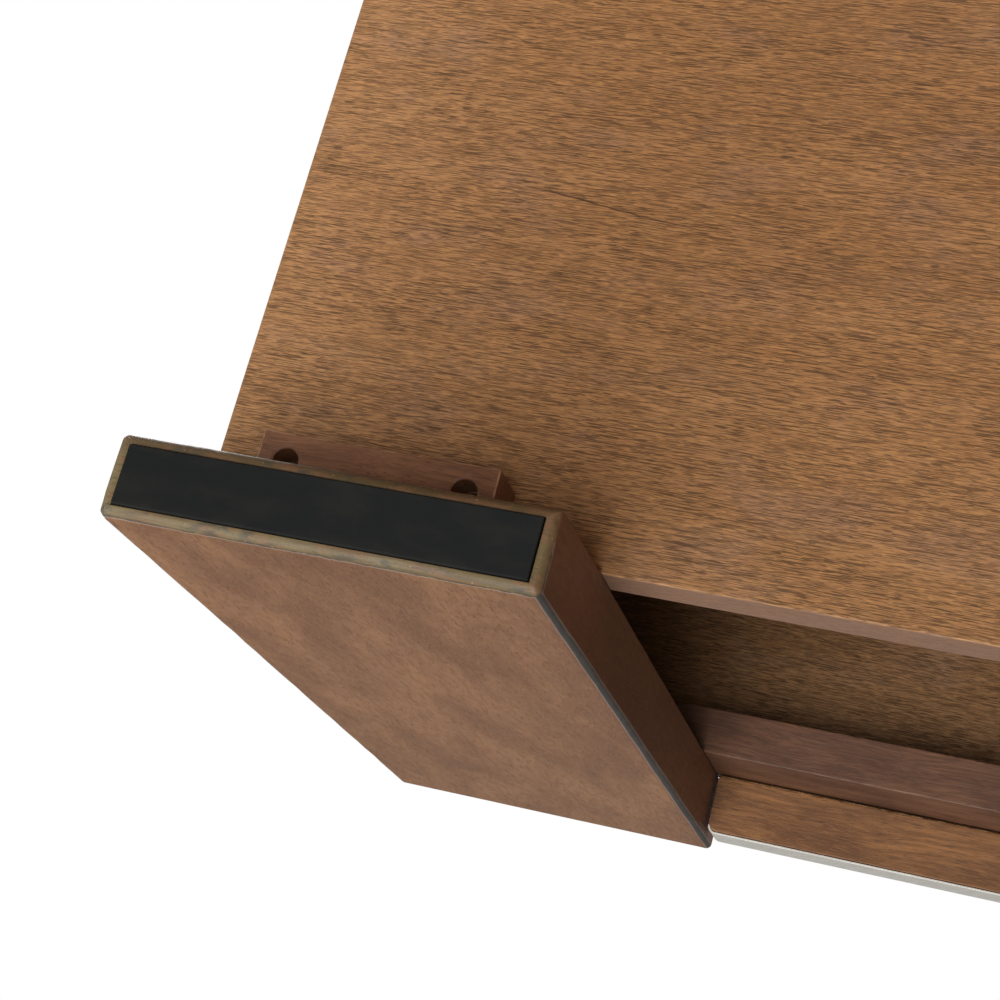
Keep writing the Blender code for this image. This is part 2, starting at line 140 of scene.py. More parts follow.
# Name, place, what it is aimed at, size in metres and power in watts
LIGHTS = (
    ("low_key", (0.75, -2.0, -1.25), (0.2, -0.1, 0.1), 1.8, 60.0),
    ("low_fill", (0.1, -1.1, -2.1), (0.1, 0.0, 0.1), 1.2, 46.0),
    ("high_right", (1.4, 1.4, 1.8), (0.0, 0.0, 0.2), 1.6, 45.0),
    ("high_left", (-1.5, 1.3, 1.5), (0.0, 0.0, 0.2), 1.6, 22.0),
    ("overhead", (0.3, 1.6, 2.2), (0.0, 0.0, 0.2), 1.2, 45.0),
)

# Finishes
GRAIN_ROLL = 0.55  # radians that patterns are rolled about the grain, clear of the boards' faces
CRACK_START = (0.2400, -0.0303)  # x and y of the ends of a hairline crack in the shelf's underside
CRACK_END = (0.1740, -0.0372)
CRACK_EDGE = (0.00045, 0.00010)  # distances from the crack's line at which it starts and is full
CRACK_WAVER = 0.0016
CRACK_FADE = (0.015, 0.006)  # lengths over which the crack fades out at its start and its end
INNER_SHADE = (0.0035, 0.0015)  # distances from a leg's inner side at which its painted shade starts and is full
FRONT_SHEEN_AND_WEAR = (0.168, 0.178)  # distances from the middle, along Y, over which the arrises' worn lacquer and painted reflection come in
FOOT_LIGHT_SPAN = (0.185, 0.315)  # distances from the middle, along X, over which the foot's olive is painted lighter outwards, as light falling from that side
FOOT_REAR_SHADE = (0.1705, 0.1655)  # distances from the middle, along Y, over which the foot is painted darker towards the rear, as shade
FOOT_TOP = (0.0034, 0.0024)  # heights over which the leg's brown gives way to the foot's colours

RECORD = frame["record"]
BODY_OF = {node: body for body, nodes in RECORD["behaviour"]["bodies"].items() for node in nodes}
SLOT_OF = {part["node"]: part["material_slot"] for part in RECORD["subparts"]}


# ---------------------------------------------------------------- surfaces


def spaced(length, pitch):
    """Shares of the way along a flat: evenly spaced, with one more close to each end."""
    count = max(1, round(length / pitch))
    hold = min(FLAT_HOLD / length, 0.25 / count)
    return np.concatenate([[hold], np.arange(1, count) / count, [1 - hold]])


def outline_rings(low, high, radius, pitch):
    """Rounded rectangles, one for each row of low, high and radius.

    A corner is a quarter circle, centre + radius (cos a, sin a), and a side is a straight line.
    radius has a column for each corner, from the one at the highest places, anticlockwise.
    Returns the points (row, place, 2), their outward directions and each one's share in a corner.
    """
    quarter = np.linspace(0.0, np.pi / 2, CORNER_STEPS + 1)
    arcs = []
    for turn, signs in enumerate(CORNERS):
        angle = quarter + turn * np.pi / 2
        direction = np.stack([np.cos(angle), np.sin(angle)], axis=-1)
        reach = radius[:, turn, None]
        centre = np.where(np.array(signs) > 0, high - reach, low + reach)
        arcs.append((centre[:, None] + reach[..., None] * direction, direction))
    points, outward, share = [], [], []
    for turn, (arc, direction) in enumerate(arcs):
        following = arcs[(turn + 1) % 4][0][:, :1]
        length = np.abs(following - arc[:, -1:]).max()
        steps = spaced(length, pitch[turn % 2])[None, :, None]
        points += [arc, arc[:, -1:] * (1 - steps) + following * steps]
        outward += [direction, np.repeat(direction[-1:], steps.size, axis=0)]
        share += [np.sin(2 * quarter), np.zeros(steps.size)]
    return np.concatenate(points, axis=1), np.concatenate(outward), np.concatenate(share)


def eased_stations(low, high, radius, pitch):
    """Places along a slab whose two ends are rounded by quarter circles: radius (1 + sin lean)
    from the end, drawn in by radius (1 - cos lean). One more ring lies inside each end face.

    Returns for each its place, how far its outline is drawn in, and the lean of its normal.
    """
    bend = np.linspace(-np.pi / 2, 0.0, CORNER_STEPS + 1)
    lean = np.concatenate([[-np.pi / 2], bend])
    inset = radius * (1 - np.cos(lean))
    inset[0] += FLAT_HOLD
    rise = radius * (1 + np.sin(lean))
    middle = low + radius + spaced(high - low - 2 * radius, pitch) * (high - low - 2 * radius)
    flat = np.zeros(middle.size)
    place = np.concatenate([low + rise, middle, (high - rise)[::-1]])
    return place, np.concatenate([inset, flat, inset[::-1]]), np.concatenate([lean, flat, -lean[::-1]])


def nicks(points, seed, spacing, depth):
    """Depth of wear at each point: sine waves that run in different directions are added, and
    only the part of their sum above a level counts."""
    chance = np.random.default_rng(seed)
    direction = chance.normal(size=(3, WEAR_WAVES))
    direction /= np.linalg.norm(direction, axis=0)
    wave = 2 * np.pi / (spacing * chance.uniform(0.4, 1.8, WEAR_WAVES))
    phase = chance.uniform(0, 2 * np.pi, WEAR_WAVES)
    total = np.sin(points @ (direction * wave) + phase).sum(axis=-1)
    return depth * np.clip(total / WEAR_SPREAD - WEAR_LEVEL, 0.0, 1.0)


def tube_faces(rows, columns, looped):
    """Quads between neighbouring rings of points. A tube whose last ring meets its first is
    closed there, and any other tube gets a flat face on each end ring."""
    index = np.arange(rows * columns).reshape(rows, columns)
    if looped:
        index = np.concatenate([index, index[:1]])
    right = np.roll(index, -1, axis=1)
    quads = np.stack([index[:-1], right[:-1], right[1:], index[1:]], axis=-1).reshape(-1, 4)
    ends = [] if looped else [index[0, ::-1].tolist(), index[-1].tolist()]
    return quads.tolist() + ends


def slab_surface(low, high, arris, travel=2, pitch=(1.0, 1.0, 1.0), wear=None, stations=None):
    """A slab with every arris rounded: a rounded rectangle carried along one axis and drawn in
    towards both ends. Its points are then pushed in along their normals by the wear.

    arris may be one radius or four, in the order of CORNERS. wear is a seed, a spacing and a
    depth. stations may give the places, insets and leans, and its insets may be a pair, for the
    low and the high corner. Returns the points, and at each its share in an arris and in a side.
    """
    across = [(travel + 1) % 3, (travel + 2) % 3]
    if stations is None:
        place, inset, lean = eased_stations(low[travel], high[travel], np.max(arris), pitch[travel])
        inset = np.stack([inset, inset], axis=-1)
    else:
        place, inset, lean = stations
    low_inset, high_inset = inset if isinstance(inset, tuple) else (inset, inset)
    arrises = np.broadcast_to(arris, 4)
    radius = np.maximum(arrises - low_inset.min(axis=1)[:, None], arrises * LEAST_ROUND)
    flat, outward, corner = outline_rings(
        low[across] + low_inset, high[across] - high_inset, radius, (pitch[across[0]], pitch[across[1]])
    )
    rows, columns = flat.shape[:2]
    points = np.empty((rows, columns, 3))
    points[..., across] = flat
    points[..., travel] = place[:, None]
    normal = np.empty_like(points)
    normal[..., across] = outward[None] * np.cos(lean)[:, None, None]
    normal[..., travel] = np.sin(lean)[:, None]
    share = np.maximum(corner[None, :] * np.cos(lean)[:, None], np.abs(np.sin(2 * lean))[:, None])
    if wear:
        points -= normal * (share * nicks(points, *wear))[..., None]
    return points, share, np.repeat(np.cos(lean)[:, None], columns, axis=1)


def turned_surface(profile, origin, axis, direction=1, sides=48):
    """A profile turned round an axis. Each row is a radius, a place along the axis and how far
    its ring is drawn from a circle to a hexagon, whose radius is cos 30 / cos(a - 30) of it."""
    radius, place, hexagon = np.array(profile, float).T[:, :, None]
    angle = np.arange(sides) * 2 * np.pi / sides
    flats = math.cos(math.pi / 6) / np.cos(angle % (np.pi / 3) - np.pi / 6)
    reach = radius * (1 + hexagon * (flats - 1))
    points = np.empty((radius.size, sides, 3))
    first, second = (axis + 1) % 3, (axis + 2) % 3
    points[..., first] = origin[first] + reach * np.cos(angle)
    points[..., second] = origin[second] + reach * np.sin(angle)
    points[..., axis] = origin[axis] + direction * place
    blank = np.zeros(points.shape[:2])
    return points[:, ::direction], blank, blank


def filleted_outlines(corners, radii):
    """Closed outlines with rounded corners. corners is (row, corner, 2), and every side runs along
    one of the two axes. An arc is centre - radius (next cos t + previous sin t), where previous and
    next point from the corner along its sides and the centre is corner + radius (previous + next).
    One more point just past each end of an arc keeps the side flat.
    """
    previous = np.sign(np.roll(corners, 1, axis=1) - corners)[:, :, None]
    following = np.sign(np.roll(corners, -1, axis=1) - corners)[:, :, None]
    radius = np.array(radii)[None, :, None, None]
    turn = np.linspace(0.0, np.pi / 2, CORNER_STEPS + 1)[:, None]
    centre = corners[:, :, None] + radius * (previous + following)
    arcs = centre - radius * (following * np.cos(turn) + previous * np.sin(turn))
    hold = (min(radii) + FLAT_HOLD / 4) / 4
    before = arcs[:, :, :1] + previous * hold
    after = arcs[:, :, -1:] + following * hold
    points = np.concatenate([before, arcs, after], axis=2)
    share = np.concatenate([[0.0], np.sin(2 * turn[:, 0]), [0.0]])
    return points.reshape(len(corners), -1, 2), np.tile(share, len(radii))


def solid(name, surfaces, material):
    """One mesh object made of closed surfaces, each a grid of rings. A grid whose last ring is
    its first is joined there, and any other has a face on both ends. The shares in an arris and
    in a side become attributes that the finishes read."""
    points, faces, arrises, sides, start = [], [], [], [], 0
    for grid, arris, side in surfaces:
        looped = np.allclose(grid[0], grid[-1], atol=1e-9)
        rings = grid[:-1] if looped else grid
        rows, columns = rings.shape[:2]
        faces += [[corner + start for corner in face] for face in tube_faces(rows, columns, looped)]
        points.append(rings.reshape(-1, 3))
        arrises.append(arris[:rows].ravel())
        sides.append(side[:rows].ravel())
        start += rows * columns
    mesh = bpy.data.meshes.new(name)
    mesh.from_pydata(np.concatenate(points), [], faces)
    for label, values in (("arris", arrises), ("side", sides)):
        mesh.attributes.new(label, "FLOAT", "POINT").data.foreach_set("value", np.concatenate(values))
    mesh.shade_smooth()
    mesh.set_sharp_from_angle(angle=SHARP_ANGLE)
    mesh.materials.append(material)
    piece = bpy.data.objects.new(name, mesh)
    bpy.context.scene.collection.objects.link(piece)
    return piece


def stand_for(piece, *nodes):
    """The piece rides with the nodes that it stands for, which are hidden."""
    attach(piece, BODY_OF[nodes[0]])
    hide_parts(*nodes)
    return piece


def corners_of(node):
    """The lowest and the highest corner of a node's box."""
    low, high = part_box(node)
    return np.array(low), np.array(high)


LEG_INNER_FACE = corners_of("leg_front_right")[0][0]  # x of the side that faces the middle


# ---------------------------------------------------------------- finishes


def tone(red, green, blue):
    """A colour given as 0 to 255 on screen, as the linear values that nodes take."""
    value = np.array((red, green, blue)) / 255
    linear = np.where(value <= 0.04045, value / 12.92, ((value + 0.055) / 1.055) ** 2.4)
    return (*linear.tolist(), 1.0)


def tinted(color, *factors):
    """A colour with its red, green and blue multiplied by a factor each, up to white."""
    return (*(min(1.0, value * factor) for value, factor in zip(color, factors)), 1.0)


class Finish:
    """A material under construction. Most methods add one step and return its output socket."""

    def __init__(self, name):
        self.material = bpy.data.materials.new(name)
        self.material.use_nodes = True
        self.tree = self.material.node_tree
        self.shader = self.tree.nodes["Principled BSDF"]

    def add(self, kind, inputs, **settings):
        """A new node, with its settings made and its inputs fed."""
        node = self.tree.nodes.new("ShaderNode" + kind)
        for key, value in settings.items():
            setattr(node, key, value)
        for key, value in inputs.items():
            self.feed(node.inputs[key], value)
        return node

    def feed(self, socket, value):
        """Links an output to the socket, or sets the socket to a plain value."""
        if isinstance(value, bpy.types.NodeSocket):
            self.tree.links.new(value, socket)
        else:
            socket.default_value = value

    def place(self):
        """Object coordinates, in metres."""
        return self.add("TexCoord", {}).outputs["Object"]

    def attribute(self, name):
        return self.add("Attribute", {}, attribute_name=name).outputs["Fac"]

    def part(self, vector, axis):
        return self.add("SeparateXYZ", {"Vector": vector}).outputs[axis]

    def away(self, axis):
        """Distance from the middle of the object along one axis."""
        return self.combine("ABSOLUTE", self.part(self.place(), axis), 0.0)

    def scaled(self, vector, scale, turn=(0.0, 0.0, 0.0), shift=(0.0, 0.0, 0.0)):
        """Coordinates with each axis scaled, then turned and shifted. A scale of 1 / d makes a
        cloud's marks about d long on that axis."""
        inputs = {"Vector": vector, "Scale": scale, "Rotation": turn, "Location": shift}
        return self.add("Mapping", inputs).outputs["Vector"]

    def cloud(self, vector, detail=3.0, roughness=0.5, distortion=0.0):
        """Soft noise, mostly between 0.3 and 0.7."""
        inputs = {
            "Vector": vector,
            "Scale": 1.0,
            "Detail": detail,
            "Roughness": roughness,
            "Distortion": distortion,
        }
        return self.add("TexNoise", inputs).outputs["Fac"]

    def span(self, value, start, stop, low=0.0, high=1.0):
        """Smoothly from low at start to high at stop."""
        inputs = {"Value": value, "From Min": start, "From Max": stop, "To Min": low, "To Max": high}
        return self.add("MapRange", inputs, interpolation_type="SMOOTHSTEP").outputs["Result"]

    def combine(self, operation, first, second):
        """One step of arithmetic. ABSOLUTE leaves its second number out."""
        node = self.add("Math", {}, operation=operation)
        self.feed(node.inputs[0], first)
        self.feed(node.inputs[1], second)
        return node.outputs["Value"]

    def blend(self, share, first, second):
        """The first colour where the share is 0, and the second where it is 1."""
        node = self.add("Mix", {}, data_type="RGBA", blend_type="MIX")
        for index, value in ((0, share), (6, first), (7, second)):
            self.feed(node.inputs[index], value)
        return node.outputs[2]

    def along(self, axis, waver=0.0007, reach=0.16):
        """Object coordinates turned so that x runs along the grain, and bent by slow noise."""
        turns = {"X": (0.0, 0.0, 0.0), "Y": (0.0, 0.0, -math.pi / 2), "Z": (0.0, math.pi / 2, 0.0)}
        turned = self.scaled(self.place(), (1.0, 1.0, 1.0), turns[axis])
        grain = self.scaled(turned, (1.0, 1.0, 1.0), (GRAIN_ROLL, 0.0, 0.0))
        slow = self.scaled(grain, (1 / reach, 4 / reach, 4 / reach))
        noise = self.add("TexNoise", {"Vector": slow, "Scale": 1.0, "Detail": 2.0})
        middle, swing = (0.5, 0.5, 0.5), (0.0, waver * 4, waver * 4)
        centred = self.add("VectorMath", {0: noise.outputs["Color"], 1: middle}, operation="SUBTRACT")
        bend = self.add("VectorMath", {0: centred.outputs[0], 1: swing}, operation="MULTIPLY")
        return self.add("VectorMath", {0: grain, 1: bend.outputs[0]}, operation="ADD").outputs[0]

    def dashes(self, grain, length, width, level, soft=0.07):
        """Thin marks along the grain: the peaks above a level of noise stretched along it."""
        stretched = self.scaled(grain, (1 / length, 1 / width, 1 / width))
        return self.span(self.cloud(stretched, detail=1.0, roughness=0.4), level, level + soft)

    def relief(self, height, distance):
        """Bumps that stand out by the distance, in metres, where the height is 1."""
        inputs = {"Height": height, "Distance": distance, "Strength": 1.0}
        self.feed(self.shader.inputs["Normal"], self.add("Bump", inputs).outputs["Normal"])

    def finish(self, color, roughness, **fixed):
        """Feeds the shader, sets its other sockets by name and returns the material."""
        self.feed(self.shader.inputs["Base Color"], color)
        self.feed(self.shader.inputs["Roughness"], roughness)
        for name, value in fixed.items():
            self.shader.inputs[name.replace("_", " ")].default_value = value
        return self.material


def veneer(name, axis, light, dark, pore, band):
    """Open-pored veneer: streaks and patches of two browns, crossed by fine dark pores. The
    board's sides carry a smooth edge band. Returns the finish, its colour and its roughness."""
    f = Finish(name)
    grain = f.along(axis)
    patches = f.cloud(f.scaled(grain, (13.0, 45.0, 45.0)), detail=2.0)
    streaks = f.cloud(f.scaled(grain, (70.0, 700.0, 700.0)), detail=3.0, roughness=0.65)
    fibres = f.cloud(f.scaled(grain, (330.0, 2600.0, 2600.0)), detail=1.0)
    color = f.blend(f.span(patches, 0.25, 0.75, 0.35, 1.0), dark, light)
    color = f.blend(f.span(streaks, 0.38, 0.66, 0.0, 0.60), color, dark)
    rosy = f.cloud(f.scaled(grain, (28.0, 60.0, 60.0), shift=(0.7, 0.2, 0.4)), detail=3.0)
    color = f.blend(f.span(rosy, 0.50, 0.72, 0.0, 0.40), color, band)
    golden = tinted(light, 1.30, 1.28, 1.05)
    color = f.blend(f.span(fibres, 0.48, 0.72, 0.0, 0.60), color, golden)
    long_pores = f.dashes(grain, 0.0105, 0.00030, 0.57, 0.05)
    other = f.scaled(grain, (1.0, 1.0, 1.0), shift=(0.31, 0.12, 0.23))
    short_pores = f.dashes(other, 0.0055, 0.00024, 0.57, 0.05)
    pores = f.combine("MAXIMUM", long_pores, short_pores)
    crowd = f.cloud(f.scaled(grain, (35.0, 120.0, 120.0)), detail=2.0)
    pores = f.combine("MULTIPLY", pores, f.span(crowd, 0.30, 0.62, 0.72, 1.0))
    color = f.blend(f.combine("MULTIPLY", pores, 0.80), color, pore)
    lines = f.span(streaks, 0.35, 0.70, 0.0, 0.35)
    color = f.blend(f.span(f.attribute("side"), 0.55, 0.95), color, f.blend(lines, band, dark))
    # Pale golden arrises: partly wear, partly a painted highlight where the eased edges catch the light
    wear_and_sheen = f.cloud(f.scaled(grain, (120.0, 500.0, 500.0)), detail=2.0)
    worn_and_highlit = f.combine("MULTIPLY", f.attribute("arris"), wear_and_sheen)
    color = f.blend(f.span(worn_and_highlit, 0.30, 0.60, 0.0, 0.55), color, golden)
    height = f.combine("SUBTRACT", f.combine("MULTIPLY", fibres, 0.35), pores)
    f.relief(height, 0.00012)
    return f, color, f.span(pores, 0.0, 1.0, 0.50, 0.80)


def hairline(f, color, dark):
    """A fine crack in the shelf's underside, close to the grain: the points within half its width
    of a slightly wavering line, between its two ends. Returns the colour with the crack in it."""
    place = f.place()
    along = f.part(place, "X")
    line = f.span(along, CRACK_START[0], CRACK_END[0], CRACK_START[1], CRACK_END[1])
    waver = f.combine("MULTIPLY", f.cloud(f.scaled(place, (70.0, 0.0, 0.0)), detail=4.0), CRACK_WAVER)
    across = f.combine("SUBTRACT", f.part(place, "Y"), f.combine("ADD", line, waver))
    mark = f.span(f.combine("ABSOLUTE", across, 0.0), *CRACK_EDGE)
    mark = f.combine("MULTIPLY", mark, f.span(along, CRACK_END[0], CRACK_END[0] + CRACK_FADE[1]))
    mark = f.combine("MULTIPLY", mark, f.span(along, CRACK_START[0], CRACK_START[0] - CRACK_FADE[0]))
    return f.blend(f.combine("MULTIPLY", mark, 0.8), color, dark)


def leg_wood():
    """Brown satin lacquer over a soft mottled grain. The arrises of its outer face carry a dark grey band
    between two pale lines, partly worn lacquer and partly a painted reflection of the bright surroundings.
    Its inner side is painted darker and redder as shade, and olive and tan lacquer covers the rim of the
    foot, painted lighter outwards and darker towards the rear as light and shade."""
    f = Finish("leg_wood_satin")
    grain = f.along("Z", waver=0.003)
    flame = f.cloud(f.scaled(grain, (16.0, 42.0, 42.0)), detail=3.0, distortion=0.4)
    base = f.blend(f.span(flame, 0.30, 0.70), tone(101, 68, 45), tone(127, 90, 61))
    mottle = f.cloud(f.scaled(grain, (120.0, 430.0, 430.0)), detail=3.0, roughness=0.6)
    base = f.blend(f.span(mottle, 0.40, 0.68, 0.0, 0.50), base, tone(98, 66, 45))
    fibres = f.cloud(f.scaled(grain, (420.0, 1700.0, 1700.0)), detail=2.0, roughness=0.6)
    base = f.blend(f.span(fibres, 0.45, 0.75, 0.0, 0.40), base, tone(142, 104, 72))
    pores = f.dashes(grain, 0.0045, 0.0009, 0.62)
    base = f.blend(f.combine("MULTIPLY", pores, 0.45), base, tone(76, 50, 34))

    across, depth = f.away("X"), f.away("Y")
    # Painted shade: the side that faces the middle, away from the lights, is painted darker and redder
    inner = f.span(across, LEG_INNER_FACE + INNER_SHADE[0], LEG_INNER_FACE + INNER_SHADE[1])
    base = f.blend(f.combine("MULTIPLY", inner, 0.65), base, tone(94, 54, 36))

    # Painted reflection, partly real wear: the front face's arrises get a pale line and a dark grey band for
    # the bright surroundings mirrored in the rounded lacquer
    arris = f.attribute("arris")
    uneven = f.cloud(f.scaled(grain, (30.0, 220.0, 220.0)), detail=3.0)
    ragged = f.combine("ADD", arris, f.span(uneven, 0.2, 0.8, -0.15, 0.15))
    wear_and_sheen = f.combine("MULTIPLY", ragged, f.span(depth, *FRONT_SHEEN_AND_WEAR))
    base = f.blend(f.span(wear_and_sheen, 0.08, 0.40, 0.0, 0.50), base, tone(134, 127, 118))
    base = f.blend(f.span(wear_and_sheen, 0.42, 0.70, 0.0, 0.95), base, tone(50, 46, 42))

    place = f.place()
    slow = f.cloud(f.scaled(place, (45.0, 45.0, 45.0)), detail=3.0)
    # Painted light: the foot's olive grows lighter towards the outer side, the side the key light falls from
    outward = f.combine("ADD", across, f.span(slow, 0.3, 0.7, -0.05, 0.05))
    foot = f.blend(f.span(outward, *FOOT_LIGHT_SPAN), tone(92, 77, 48), tone(102, 88, 60))
    # Painted shade: the foot is darkened towards the rear, away from the front lights
    rear = f.span(depth, *FOOT_REAR_SHADE)
    foot = f.blend(f.combine("MULTIPLY", rear, 0.75), foot, tone(76, 57, 34))
    tan = f.cloud(f.scaled(place, (70.0, 160.0, 160.0)), detail=4.0, roughness=0.6)
    foot = f.blend(f.span(tan, 0.46, 0.62, 0.0, 0.60), foot, tone(108, 76, 53))
    drops = f.cloud(f.scaled(place, (110.0, 260.0, 260.0)), detail=4.0, roughness=0.6)
    foot = f.blend(f.span(drops, 0.52, 0.66, 0.0, 0.75), foot, tone(60, 58, 48))
    streaks = f.cloud(f.scaled(place, (60.0, 900.0, 900.0)), detail=3.0, roughness=0.6)
    foot = f.blend(f.span(streaks, 0.45, 0.70, 0.0, 0.55), foot, tone(72, 58, 40))
    speck = f.cloud(f.scaled(place, (900.0, 900.0, 900.0)), detail=1.0)
    foot = f.blend(f.span(speck, 0.70, 0.78, 0.0, 0.7), foot, tone(150, 130, 100))
    base = f.blend(f.span(f.part(place, "Z"), *FOOT_TOP), base, foot)
    height = f.combine("ADD", f.combine("MULTIPLY", mottle, 0.5), f.combine("MULTIPLY", fibres, 0.3))
    f.relief(f.combine("SUBTRACT", height, f.combine("MULTIPLY", pores, 0.6)), 0.00008)
    return f.finish(base, f.span(mottle, 0.3, 0.7, 0.42, 0.55), Specular_IOR_Level=0.35)


def fine_wood(name, light, dark, edge, ring=0.0022, pore_share=0.5, edge_share=0.8):
    """Close-grained solid wood: wavy growth lines along X between two browns, with pale arrises that are
    partly wear and partly a painted highlight.
    ring is the distance between growth lines."""
    f = Finish(name)
    grain = f.along("X", waver=0.004, reach=0.12)
    lines = f.cloud(f.scaled(grain, (0.05 / ring, 1 / ring, 1 / ring)), detail=4.0, roughness=0.65)
    streaks = f.cloud(f.scaled(grain, (110.0, 2200.0, 2200.0)), detail=2.0, roughness=0.6)
    patches = f.cloud(f.scaled(grain, (22.0, 70.0, 70.0)), detail=2.0)
    color = f.blend(f.span(patches, 0.3, 0.7), dark, light)
    color = f.blend(f.span(lines, 0.38, 0.62, 0.0, 0.75), color, dark)
    color = f.blend(f.span(streaks, 0.45, 0.72, 0.0, 0.6), color, light)
    pores = f.dashes(grain, 0.0070, 0.00034, 0.60)
    marks = f.combine("MULTIPLY", pores, pore_share)
    color = f.blend(marks, color, tinted(dark, 0.4, 0.4, 0.4))
    # Pale arrises: partly wear, partly a painted highlight where the eased edges catch the light
    wear_and_sheen = f.cloud(f.scaled(grain, (160.0, 300.0, 300.0)), detail=3.0)
    worn_and_highlit = f.combine("MULTIPLY", f.attribute("arris"), wear_and_sheen)
    color = f.blend(f.span(worn_and_highlit, 0.30, 0.55, 0.0, edge_share), color, edge)
    f.relief(f.combine("SUBTRACT", f.combine("MULTIPLY", streaks, 0.5), marks), 0.00008)
    return f.finish(color, f.span(streaks, 0.3, 0.7, 0.45, 0.6), Specular_IOR_Level=0.3)


def foot_rubber():
    """Dull black rubber with slow grey dust and fine grit."""
    f = Finish("foot_rubber_matt")
    place = f.place()
    grit = f.cloud(f.scaled(place, (2500.0, 2500.0, 2500.0)), detail=1.0)
    dust = f.cloud(f.scaled(place, (60.0, 120.0, 120.0)), detail=3.0)
    color = f.blend(f.span(dust, 0.4, 0.7), tone(24, 25, 25), tone(32, 32, 30))
    color = f.blend(f.span(grit, 0.72, 0.82, 0.0, 0.15), color, tone(80, 76, 70))
    f.relief(grit, 0.00005)
    return f.finish(color, f.span(dust, 0.3, 0.7, 0.78, 0.92), Specular_IOR_Level=0.12)


def edge_metal():
    """Light grey metal with faint fine diagonal striations."""
    f = Finish("edge_metal_brushed")
    turned = f.scaled(f.place(), (1.0, 1.0, 1.0), (0.0, math.radians(40), 0.0))
    scratch = f.cloud(f.scaled(turned, (120.0, 900.0, 4200.0)), detail=3.0, roughness=0.7)
    smear = f.cloud(f.scaled(f.place(), (40.0, 200.0, 200.0)), detail=3.0)
    color = f.blend(f.span(scratch, 0.35, 0.7), tone(172, 169, 162), tone(205, 203, 196))
    color = f.blend(f.span(smear, 0.4, 0.7, 0.0, 0.35), color, tone(158, 152, 144))
    f.relief(scratch, 0.00003)
    return f.finish(color, f.span(smear, 0.3, 0.7, 0.42, 0.6), Metallic=0.35)


def plain_metal(name, light, dark, roughness):
    """Worn plating: two tones in small clouds, with fine scratches."""
    f = Finish(name)
    place = f.place()
    cloud = f.cloud(f.scaled(place, (400.0, 400.0, 400.0)), detail=4.0, roughness=0.6)
    scratch = f.cloud(f.scaled(place, (500.0, 4000.0, 4000.0)), detail=2.0)
    f.relief(scratch, 0.00003)
    color = f.blend(f.span(cloud, 0.35, 0.65), dark, light)
    return f.finish(color, f.span(cloud, 0.3, 0.7, roughness, roughness + 0.15), Metallic=1.0)


# ---------------------------------------------------------------- pieces


def make_legs(material):
    """Slab legs. From its cap inwards the foot has a recess for the pad, then a rounded rim."""
    bend = np.linspace(-np.pi / 2, 0.0, FOOT_STEPS + 1)
    rim = FOOT_ARRIS * (1 - np.cos(bend))
    for end, side in LEG_PLACES:
        node = f"leg_{end}_{side}"
        low, high = corners_of(node)
        pad_low, pad_high = corners_of(f"foot_pad_{end}_{side}")
        recess = (pad_low - low)[:2] - PAD_GAP
        rim_top = low[2] + FOOT_ARRIS
        place, inset, lean = eased_stations(rim_top, high[2], LEG_ARRIS, LEG_PITCH[2])
        above = place > rim_top + LEG_ARRIS
        mouth = [pad_high[2] + PAD_GAP, low[2] + FOOT_LIP, low[2]]
        place = np.concatenate([mouth, low[2] + FOOT_ARRIS * (1 + np.sin(bend)), place[above]])
        inset = np.concatenate([rim, inset[above]])
        inset = np.concatenate([[recess, recess, recess - FOOT_LIP], np.stack([inset, inset], axis=-1)])
        lean = np.concatenate([[-np.pi / 2] * 3, bend, lean[above]])
        arrises = [
            LEG_INNER_ARRIS if corner == (-SIDES[side], -ENDS[end]) else LEG_ARRIS
            for corner in CORNERS
        ]
        surface = slab_surface(low, high, arrises, 2, LEG_PITCH, LEG_WEAR, (place, inset, lean))
        stand_for(solid(f"slab_leg_{end}_{side}", [surface], material), node)


def make_pads(material):
    """Thin slabs of rubber, each in the recess of its foot."""
    for end, side in LEG_PLACES:
        node = f"foot_pad_{end}_{side}"
        low, high = corners_of(node)
        surface = slab_surface(low, high, PAD_ARRIS, 2, PAD_PITCH, PAD_WEAR)
        stand_for(solid(f"rubber_pad_{end}_{side}", [surface], material), node)


